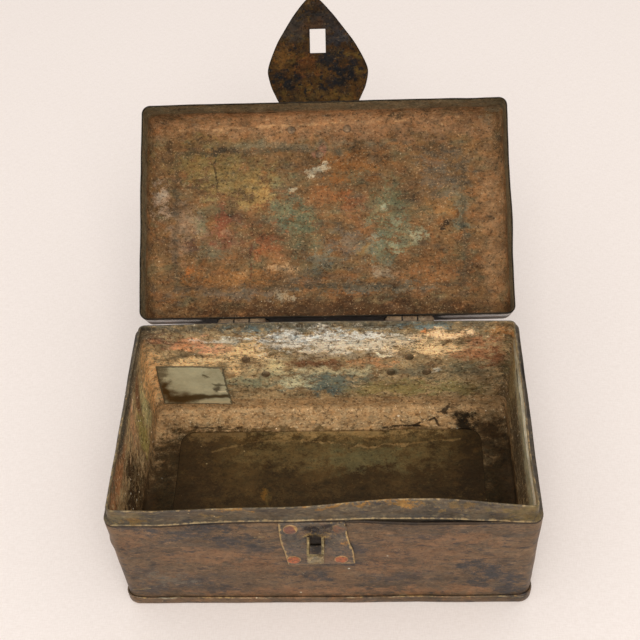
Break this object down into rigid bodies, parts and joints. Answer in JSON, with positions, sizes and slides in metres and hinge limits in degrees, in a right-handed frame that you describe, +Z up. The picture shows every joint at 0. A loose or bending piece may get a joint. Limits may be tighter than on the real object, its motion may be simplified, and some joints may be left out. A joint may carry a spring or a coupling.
{
  "type": "betel box",
  "caption": "Rectangular sheet brass box with an inner collar, a hinged tray lid with a raised panel, and a slotted hasp that drops over a staple on the front.",
  "frame": {"origin": "centre of the bottom pan's flat underside, where the box stands", "axes": "+Z up, -Y towards the front wall with the staple, +X to the right as seen from the front; the lid lies open over +Y"},
  "size_m": [0.202, 0.2957, 0.1659],
  "materials": {
    "wall_brass": "dark brown patina, worn",
    "pan_brass": "dark brown patina, worn edge",
    "collar_brass": "grey brown patina, rubbed edge",
    "lid_brass": "brown and rust patina with verdigris",
    "hasp_brass": "olive brown, mottled",
    "hinge_brass": "dark worn brass",
    "copper_rivet": "copper, flattened and rubbed",
    "brass_rivet": "dull worn brass",
    "patch_tin": "smooth tinned sheet"
  },
  "bodies": {
    "box": {"body_wall": "wall_brass", "bottom_pan": "pan_brass", "collar": "collar_brass", "staple_plate": "wall_brass", "staple_loop": "hinge_brass", "staple_rivets": "copper_rivet", "inside_patch": "patch_tin", "left_hinge_body_leaf": "hinge_brass", "left_hinge_pin": "hinge_brass", "left_hinge_body_rivets": "brass_rivet", "right_hinge_body_leaf": "hinge_brass", "right_hinge_pin": "hinge_brass", "right_hinge_body_rivets": "brass_rivet"},
    "lid": {"lid_shell": "lid_brass", "hasp_leaf": "hasp_brass", "hasp_pin": "hinge_brass", "hasp_leaf_rivets": "brass_rivet", "left_hinge_lid_leaf": "hinge_brass", "left_hinge_lid_rivets": "brass_rivet", "right_hinge_lid_leaf": "hinge_brass", "right_hinge_lid_rivets": "brass_rivet"},
    "hasp": {"hasp_plate": "hasp_brass"}
  },
  "joints": [
    {"name": "lid_hinge", "type": "hinge", "parent": "box", "child": "lid", "pos_m": [0, 0.0624, 0.0732], "axis": [-1, 0, 0], "range_deg": [-147, 23]},
    {"name": "hasp_hinge", "type": "hinge", "parent": "lid", "child": "hasp", "pos_m": [0, 0.17935, 0.12208], "axis": [-1, 0, 0], "range_deg": [-78, 97]}
  ]
}
